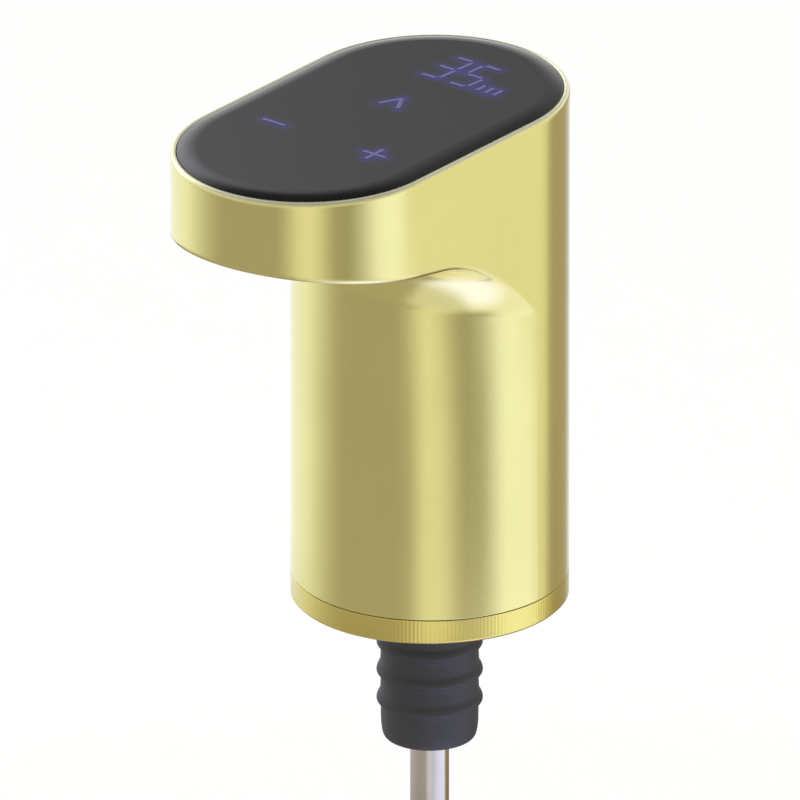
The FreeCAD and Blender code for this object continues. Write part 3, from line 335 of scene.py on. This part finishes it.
# ---- Air pump
# A small brushed motor in a plated can, whose crank pin rocks a plastic plate under three rubber cups. The
# pump's moulded head and base are screwed together round the cups.
ferrite = finish("ferrite", (0.07, 0.07, 0.075), 0.3, 0.6, 5000, 0.00002)
copper = finish("copper_wire", (0.75, 0.33, 0.16), 0.9, 0.3, 7000, 0.00006)
brass = finish("turned_brass", (0.80, 0.62, 0.28), 1.0, 0.25, 3000, 0.00001)
steel = finish("stainless_steel", (0.66, 0.63, 0.54), 1.0, 0.2, 2500, 0.00001, stretch=40)
black_plastic = finish("black_plastic", (0.022, 0.022, 0.024), 0.0, 0.42, 5000, 0.00002)
dark_rubber = finish("dark_silicone", (0.035, 0.035, 0.038), 0.0, 0.62, 3500, 0.00003)
clear_rubber = finish("clear_silicone", (0.78, 0.79, 0.76), 0.0, 0.35, 2500, 0.00001)
clear_rubber.node_tree.nodes["Principled BSDF"].inputs["Transmission Weight"].default_value = 0.6
dress("motor_can", plated)
dress("motor_bushes", brass)
dress("motor_magnets", ferrite)
dress("motor_shaft", steel)
dress("motor_armature", ferrite)
dress("motor_windings", copper)
dress("motor_commutator", brass)
dress("pump_base", black_plastic)
dress("pump_eccentric", white_plastic)
dress("pump_rocker", white_plastic)
dress("pump_diaphragm", dark_rubber)
dress("pump_flap_sheet", clear_rubber)
dress("pump_head", black_plastic)
dress("pump_screws", plated)
dress("pump_hose", clear_rubber)


# ---- Air valve
# A solenoid on the frame's arm: its sprung plunger closes the way from the pump to the bottle. The spring is
# a coil of steel wire that closes up against the core when the plunger is pulled in.
dress("valve_body", white_plastic)
dress("valve_coil", copper)
dress("valve_yoke", plated)
dress("valve_core", plated)
dress("valve_plunger", steel)
dress("bottle_air_hose", clear_rubber)
spring_low, spring_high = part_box("valve_spring")
spring_wire = 0.00015
spring_turns = 7
spring_steps = 20
spring_radius = (spring_high[0] - spring_low[0]) / 2 - spring_wire
spring_length = spring_high[1] - spring_low[1]
bpy.ops.object.select_all(action="DESELECT")
bpy.ops.mesh.primitive_circle_add(vertices=10, radius=spring_wire, location=(spring_radius, spring_wire, 0))
spring = bpy.context.object
spring.name = "wound_spring"
bpy.ops.object.transform_apply(location=True)
wind = spring.modifiers.new("wind", "SCREW")
wind.axis = "Y"
wind.screw_offset = (spring_length - 2 * spring_wire) / spring_turns
wind.iterations = spring_turns
wind.steps = spring_steps
wind.render_steps = spring_steps
bpy.ops.object.modifier_apply(modifier="wind")
bpy.ops.object.mode_set(mode="EDIT")
bpy.ops.mesh.select_all(action="SELECT")
bpy.ops.mesh.fill_holes(sides=0)
bpy.ops.mesh.select_all(action="SELECT")
bpy.ops.mesh.normals_make_consistent(inside=False)
bpy.ops.transform.translate(value=((spring_low[0] + spring_high[0]) / 2, spring_low[1],
                                   (spring_low[2] + spring_high[2]) / 2))
bpy.ops.object.mode_set(mode="OBJECT")
bpy.ops.object.shade_smooth()
spring.data.materials.append(steel)
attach(spring, "body")
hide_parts("valve_spring")
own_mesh(spring)


# ---- Spout nozzle
# Black moulding screwed down inside the head, with a steel aerator screen in its mouth. The wine reaches it
# through a hose of clear silicone pushed over its spigot.
dress("wine_hose", clear_rubber)
dress("spout_nozzle", black_plastic)
dress("aerator_screen", steel)
dress("nozzle_screws", plated)


# ---- Charging port
# A plated steel socket with a black plastic tongue, flush with the back of the column. It is soldered to the
# power board, which rests on two posts of the bottom cover.
dress("power_board", board_green)
dress("power_chips", chip_black)
dress("charging_port_shell", plated)
dress("charging_port_tongue", black_plastic)


# ---- Bottom cover
# A black moulding that closes the column and forms the hub below it. The white port block that stands on it
# joins the hoses to the tubes, with a silicone ring round the wine tube.
dress("bottom_cover", black_plastic)
dress("port_block", white_plastic)
dress("wine_port_seal", dark_rubber)


# ---- Lock ring
# A gold-anodised aluminium ring with a fine straight knurl. It turns on the cover's hub and holds the
# stopper's carrier by four tabs.
ring_gold = finish("ring_gold", (0.745, 0.645, 0.18), 1.0, 0.20, 1500, 0.000006)
knurl_count = 220
knurl_depth = 0.000012
tree = ring_gold.node_tree
place = tree.nodes.new("ShaderNodeTexCoord")
around = tree.nodes.new("ShaderNodeTexGradient")
around.gradient_type = "RADIAL"
count = tree.nodes.new("ShaderNodeMath")
count.operation = "MULTIPLY"
count.inputs[1].default_value = 2 * math.pi * knurl_count
groove = tree.nodes.new("ShaderNodeMath")
groove.operation = "SINE"
knurl = tree.nodes.new("ShaderNodeBump")
knurl.inputs["Strength"].default_value = 0.5
knurl.inputs["Distance"].default_value = knurl_depth
tree.links.new(place.outputs["Object"], around.inputs["Vector"])
tree.links.new(around.outputs["Fac"], count.inputs[0])
tree.links.new(count.outputs["Value"], groove.inputs[0])
tree.links.new(groove.outputs["Value"], knurl.inputs["Height"])
tree.links.new(tree.nodes["Bump"].outputs["Normal"], knurl.inputs["Normal"])
tree.links.new(knurl.outputs["Normal"], tree.nodes["Principled BSDF"].inputs["Normal"])
dress("lock_ring", ring_gold)


# ---- Bottle stopper
# Black silicone moulded under a plastic carrier: a flat seat for the bottle's rim, and a plug with four soft
# lips that squeeze into the bore and leave a trumpet of air between them.
dress("stopper_carrier", black_plastic)
dress("air_tube", steel)
plug_bore = 0.0035
bore_edge = 0.0004
seat_radius = 0.0150
seat_top = 0.0013
plug_end = -0.0280
lip_radius = 0.00963
lip_pitch = 0.0055
lip_count = 4
# Each pair below is a radius or an inset, and a height or a drop. Pairs close together keep a corner crisp.
seat_corner = ((0.0005, 0.0), (0.0001, 0.0001), (0.0, 0.0004))
under_seat = [(0.0096, 0.0), (0.0090, -0.0001), (0.0089, -0.0006)]
lip_shape = ((0.0089, 0.0006), (0.0089, 0.0001), (0.0092, -0.0003), (0.0095, -0.0009), (lip_radius, -0.0014),
             (0.0095, -0.0018), (0.0091, -0.0020), (0.0088, -0.0022), (0.0088, -0.0029))
plug_tip = [(0.0088, -0.0256), (0.0085, -0.0272), (0.0083, -0.0277), (0.0079, plug_end), (0.0075, plug_end)]
outline = [(plug_bore, seat_top), (plug_bore + bore_edge, seat_top)]
outline += [(seat_radius - inset, seat_top - drop) for inset, drop in seat_corner]
outline += [(seat_radius - inset, drop) for inset, drop in reversed(seat_corner)]
outline += under_seat
for index in range(lip_count):
    lip_top = -lip_pitch * (index + 0.5)
    outline += [(radius, lip_top + rise) for radius, rise in lip_shape]
outline += plug_tip
outline += [(plug_bore + bore_edge, plug_end), (plug_bore, plug_end), (plug_bore, plug_end + bore_edge),
            (plug_bore, seat_top - bore_edge)]
bpy.ops.object.select_all(action="DESELECT")
bpy.ops.mesh.primitive_circle_add(vertices=72, radius=plug_bore, location=(0, 0, seat_top - bore_edge))
stopper = bpy.context.object
stopper.name = "ribbed_stopper"
bpy.ops.object.transform_apply(location=True)
bpy.ops.object.mode_set(mode="EDIT")
radius, level = plug_bore, seat_top - bore_edge
for next_radius, next_level in outline:
    bpy.ops.mesh.extrude_region_move(TRANSFORM_OT_translate={"value": (0, 0, next_level - level)})
    bpy.ops.transform.resize(value=(next_radius / radius, next_radius / radius, 1),
                             center_override=(0, 0, next_level))
    radius, level = next_radius, next_level
bpy.ops.mesh.select_all(action="SELECT")
bpy.ops.mesh.remove_doubles(threshold=0.00001)
bpy.ops.mesh.normals_make_consistent(inside=False)
bpy.ops.object.mode_set(mode="OBJECT")
soften = stopper.modifiers.new("soften", "SUBSURF")
soften.levels = 1
soften.render_levels = 1
bpy.ops.object.modifier_apply(modifier="soften")
air_hole_radius = 0.0012
air_hole_x = -0.0062
drill_length = 0.05
bpy.ops.object.select_all(action="DESELECT")
bpy.ops.mesh.primitive_cylinder_add(vertices=32, radius=air_hole_radius, depth=drill_length,
                                    location=(air_hole_x, 0, plug_end / 2))
drill = bpy.context.object
bpy.context.view_layer.objects.active = stopper
punch = stopper.modifiers.new("punch", "BOOLEAN")
punch.object = drill
bpy.ops.object.modifier_apply(modifier="punch")
bpy.data.objects.remove(drill)
stopper.select_set(True)
bpy.ops.object.shade_smooth_by_angle(angle=math.radians(40))
rubber = finish("stopper_rubber", (0.028, 0.028, 0.030), 0.0, 0.55, 3500, 0.00003)
stopper.data.materials.append(rubber)
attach(stopper, "body")
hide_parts("bottle_stopper")


# ---- Suction tube
# Three drawn stainless tubes that slide inside one another. A black plastic gland on each lower end guides
# the next tube, silicone seals hold them where they are set, and the foot is slotted.
dress("tube_upper", steel)
dress("upper_gland", black_plastic)
dress("middle_seal", dark_rubber)
dress("tube_middle", steel)
dress("lower_gland", black_plastic)
dress("lower_seal", dark_rubber)
dress("tube_lower", steel)
dress("intake_foot", black_plastic)


# ---- Studio
# A pale painted floor under the extended tube, clear from below, in a white room. Gloss sees the room
# dimmer overhead, as a softly lit ceiling would be.
floor_height = -0.29
floor_size = 12
bpy.ops.mesh.primitive_plane_add(size=floor_size, location=(0, 0, floor_height))
floor = bpy.context.object
floor.name = "studio_floor"
paint = finish("floor_paint", (0.93, 0.93, 0.92), 0.0, 0.85, 400, 0.00005, tint=0.002)
tree = paint.node_tree
side = tree.nodes.new("ShaderNodeNewGeometry")
clear = tree.nodes.new("ShaderNodeBsdfTransparent")
one_way = tree.nodes.new("ShaderNodeMixShader")
tree.links.new(side.outputs["Backfacing"], one_way.inputs["Fac"])
tree.links.new(tree.nodes["Principled BSDF"].outputs["BSDF"], one_way.inputs[1])
tree.links.new(clear.outputs["BSDF"], one_way.inputs[2])
tree.links.new(one_way.outputs["Shader"], tree.nodes["Material Output"].inputs["Surface"])
floor.data.materials.append(paint)

room = bpy.data.worlds.new("studio_room")
room.use_nodes = True
tree = room.node_tree
plain = tree.nodes["Background"]
plain.inputs["Color"].default_value = (1, 1, 1, 1)
plain.inputs["Strength"].default_value = 1.08
place = tree.nodes.new("ShaderNodeTexCoord")
height = tree.nodes.new("ShaderNodeSeparateXYZ")
ceiling = tree.nodes.new("ShaderNodeValToRGB")
stops = ceiling.color_ramp.elements
stops[0].position = 0.05
stops[0].color = (1.15, 1.15, 1.12, 1)
stops[1].position = 0.95
stops[1].color = (0.06, 0.06, 0.05, 1)
for position, grey in ((0.26, 0.95), (0.41, 0.485), (0.56, 0.455), (0.68, 0.35), (0.80, 0.16)):
    stops.new(position).color = (grey, grey, grey, 1)
overhead = tree.nodes.new("ShaderNodeBackground")
ray = tree.nodes.new("ShaderNodeLightPath")
choose = tree.nodes.new("ShaderNodeMixShader")
tree.links.new(place.outputs["Generated"], height.inputs["Vector"])
tree.links.new(height.outputs["Z"], ceiling.inputs["Fac"])
tree.links.new(ceiling.outputs["Color"], overhead.inputs["Color"])
tree.links.new(ray.outputs["Is Glossy Ray"], choose.inputs["Fac"])
tree.links.new(plain.outputs["Background"], choose.inputs[1])
tree.links.new(overhead.outputs["Background"], choose.inputs[2])
tree.links.new(choose.outputs["Shader"], tree.nodes["World Output"].inputs["Surface"])
scene.world = room
scene.view_settings.view_transform = "Standard"


# ---- Light tent
# A round wall of dim cloth with soft boxes behind it, which give the gold its upright bands. Its floor is
# bright, with a strip box on it whose reflection is the white spot under the head. Its seam is at the left.
tent_seam = -100
tent_radius = 0.6
tent_height = 0.41
tent_lift = 0.002
tent_turn = 180 + tent_seam
# Each light is a bearing in degrees, round from the part's right towards its rear, and a colour.
cloth = (0.47, 0.43, 0.43)
gap = (0.41, 0.385, 0.37)
corner = (0.46, 0.40, 0.33)
left_box = (0.96, 0.94, 0.98)
key_box = (1.16, 1.22, 1.60)
fill_box = (0.94, 0.935, 0.90)
rear_box = (1.06, 1.10, 1.25)
low_lights = [(-70, cloth), (-51, left_box), (-44, left_box), (-19, gap), (-11, gap), (17, key_box),
              (38, key_box), (49, fill_box), (53, fill_box), (70, corner), (92, corner), (128, rear_box),
              (180, rear_box), (238, cloth)]
high_lights = [(-80, cloth), (-57, left_box), (-54, left_box), (-31, gap), (-26, gap), (8, key_box),
               (19, key_box), (36, fill_box), (53, fill_box), (70, corner), (92, corner), (128, rear_box),
               (183, rear_box), (240, cloth)]
shade = (0.50, 0.46, 0.44)
sheet = (1.10, 1.12, 1.42)
left_sheet = (0.84, 0.84, 0.98)
wood = (0.30, 0.22, 0.12)
strip_box = (1.35, 1.42, 2.90)
floor_lights = [(-78, shade), (-62, left_sheet), (-32, left_sheet), (-10, sheet), (48, sheet), (64, wood),
                (110, wood), (150, shade)]


def lamp(piece, name, build):
    """Turns a stage piece into a light that only gloss sees; build makes its colour and, if any, its fade."""
    material = bpy.data.materials.new(name)
    material.use_nodes = True
    tree = material.node_tree
    tree.nodes.remove(tree.nodes["Principled BSDF"])
    glow = tree.nodes.new("ShaderNodeEmission")
    share = build(tree, glow)
    shown = glow.outputs["Emission"]
    if share:
        clear = tree.nodes.new("ShaderNodeBsdfTransparent")
        fade = tree.nodes.new("ShaderNodeMixShader")
        tree.links.new(share, fade.inputs["Fac"])
        tree.links.new(clear.outputs["BSDF"], fade.inputs[1])
        tree.links.new(shown, fade.inputs[2])
        shown = fade.outputs["Shader"]
    tree.links.new(shown, tree.nodes["Material Output"].inputs["Surface"])
    piece.data.materials.append(material)
    piece.name = name
    piece.visible_camera = False
    piece.visible_diffuse = False
    piece.visible_shadow = False
    piece.visible_transmission = False


def round_ramp(tree, place, lights):
    """Colour by bearing round the tent, easing from one light to the next."""
    around = tree.nodes.new("ShaderNodeTexGradient")
    around.gradient_type = "RADIAL"
    ramp = tree.nodes.new("ShaderNodeValToRGB")
    ramp.color_ramp.interpolation = "EASE"
    stops = ramp.color_ramp.elements
    stops[0].color = (*lights[0][1], 1)
    stops[1].color = (*lights[-1][1], 1)
    for bearing, colour in lights:
        stops.new((bearing - tent_seam) % 360 / 360).color = (*colour, 1)
    tree.links.new(place.outputs["Object"], around.inputs["Vector"])
    tree.links.new(around.outputs["Fac"], ramp.inputs["Fac"])
    return ramp.outputs["Color"]


def ease(tree, value, start, end):
    """0 where the value is at start, 1 where it is at end, and smooth between."""
    step = tree.nodes.new("ShaderNodeMapRange")
    step.interpolation_type = "SMOOTHSTEP"
    step.inputs["From Min"].default_value = start
    step.inputs["From Max"].default_value = end
    tree.links.new(value, step.inputs["Value"])
    return step.outputs["Result"]


def mixed(tree, share, first, second):
    """The first colour where the share is 0 and the second where it is 1; each is a tuple or a socket."""
    blend = tree.nodes.new("ShaderNodeMix")
    blend.data_type = "RGBA"
    tree.links.new(share, blend.inputs["Factor"])
    for colour, socket in ((first, blend.inputs["A"]), (second, blend.inputs["B"])):
        if isinstance(colour, tuple):
            socket.default_value = (*colour, 1)
        else:
            tree.links.new(colour, socket)
    return blend.outputs["Result"]


def product(tree, first, second):
    """One share times another."""
    times = tree.nodes.new("ShaderNodeMath")
    times.operation = "MULTIPLY"
    tree.links.new(first, times.inputs[0])
    tree.links.new(second, times.inputs[1])
    return times.outputs["Value"]


def wall_light(tree, glow):
    """The floor's lights at the wall's foot, then the boxes, which lean towards the front higher up."""
    foot_end = floor_height + 0.055
    lean_start = floor_height + 0.105
    lean_end = floor_height + 0.118
    place = tree.nodes.new("ShaderNodeTexCoord")
    split = tree.nodes.new("ShaderNodeSeparateXYZ")
    tree.links.new(place.outputs["Object"], split.inputs["Vector"])
    foot = ease(tree, split.outputs["Z"], floor_height, foot_end)
    lean = ease(tree, split.outputs["Z"], lean_start, lean_end)
    boxes = mixed(tree, lean, round_ramp(tree, place, low_lights), round_ramp(tree, place, high_lights))
    colour = mixed(tree, foot, round_ramp(tree, place, floor_lights), boxes)
    tree.links.new(colour, glow.inputs["Color"])


bpy.ops.object.select_all(action="DESELECT")
bpy.ops.mesh.primitive_cylinder_add(vertices=128, radius=tent_radius, depth=tent_height,
                                    end_fill_type="NOTHING",
                                    location=(0, 0, floor_height + tent_lift + tent_height / 2))
tent = bpy.context.object
bpy.ops.object.transform_apply(location=True, rotation=False, scale=False)
tent.rotation_euler.z = math.radians(tent_turn)
lamp(tent, "light_tent", wall_light)


def floor_light(tree, glow):
    """The floor's lights, with the strip box lying across them from the middle outwards."""
    strip_turn = 8
    strip_near = (0.0, 0.08)
    strip_far = (0.64, 0.28)
    strip_side = (0.18, 0.01)
    place = tree.nodes.new("ShaderNodeTexCoord")
    turn = tree.nodes.new("ShaderNodeMapping")
    turn.inputs["Rotation"].default_value[2] = math.radians(tent_turn + strip_turn)
    split = tree.nodes.new("ShaderNodeSeparateXYZ")
    side = tree.nodes.new("ShaderNodeMath")
    side.operation = "ABSOLUTE"
    tree.links.new(place.outputs["Object"], turn.inputs["Vector"])
    tree.links.new(turn.outputs["Vector"], split.inputs["Vector"])
    tree.links.new(split.outputs["Y"], side.inputs[0])
    near = ease(tree, split.outputs["X"], *strip_near)
    far = ease(tree, split.outputs["X"], *strip_far)
    strip = product(tree, product(tree, near, far), ease(tree, side.outputs["Value"], *strip_side))
    colour = mixed(tree, strip, round_ramp(tree, place, floor_lights), strip_box)
    tree.links.new(colour, glow.inputs["Color"])


bpy.ops.mesh.primitive_circle_add(vertices=128, radius=tent_radius, fill_type="NGON",
                                  location=(0, 0, floor_height + tent_lift))
ground = bpy.context.object
ground.rotation_euler.z = math.radians(tent_turn)
lamp(ground, "tent_floor", floor_light)


# ---- Side screen
# A soft screen high at the left behind the head, turned to face the part. Its light fades out towards its
# own edges, and it lights the left edge of the glass.
def screen_light(tree, glow):
    """Even white light that fades from the screen's middle to its edges."""
    across = (0.5, 0.1)
    upward = (0.5, 0.0)
    place = tree.nodes.new("ShaderNodeTexCoord")
    split = tree.nodes.new("ShaderNodeSeparateXYZ")
    tree.links.new(place.outputs["Object"], split.inputs["Vector"])
    glow.inputs["Color"].default_value = (1.7, 1.7, 1.8, 1)
    return product(tree, ease(tree, split.outputs["X"], *across), ease(tree, split.outputs["Y"], *upward))


screen_bearing = math.radians(161)
screen_distance = 0.82
screen_height = 0.57
toward = Vector((math.cos(screen_bearing) * screen_distance, math.sin(screen_bearing) * screen_distance,
                 screen_height))
bpy.ops.mesh.primitive_plane_add(size=1, location=toward)
screen = bpy.context.object
screen.rotation_mode = "QUATERNION"
screen.rotation_quaternion = (-toward).to_track_quat("Z", "Y")
screen.scale = (1.06, 0.75, 1)
lamp(screen, "side_screen", screen_light)
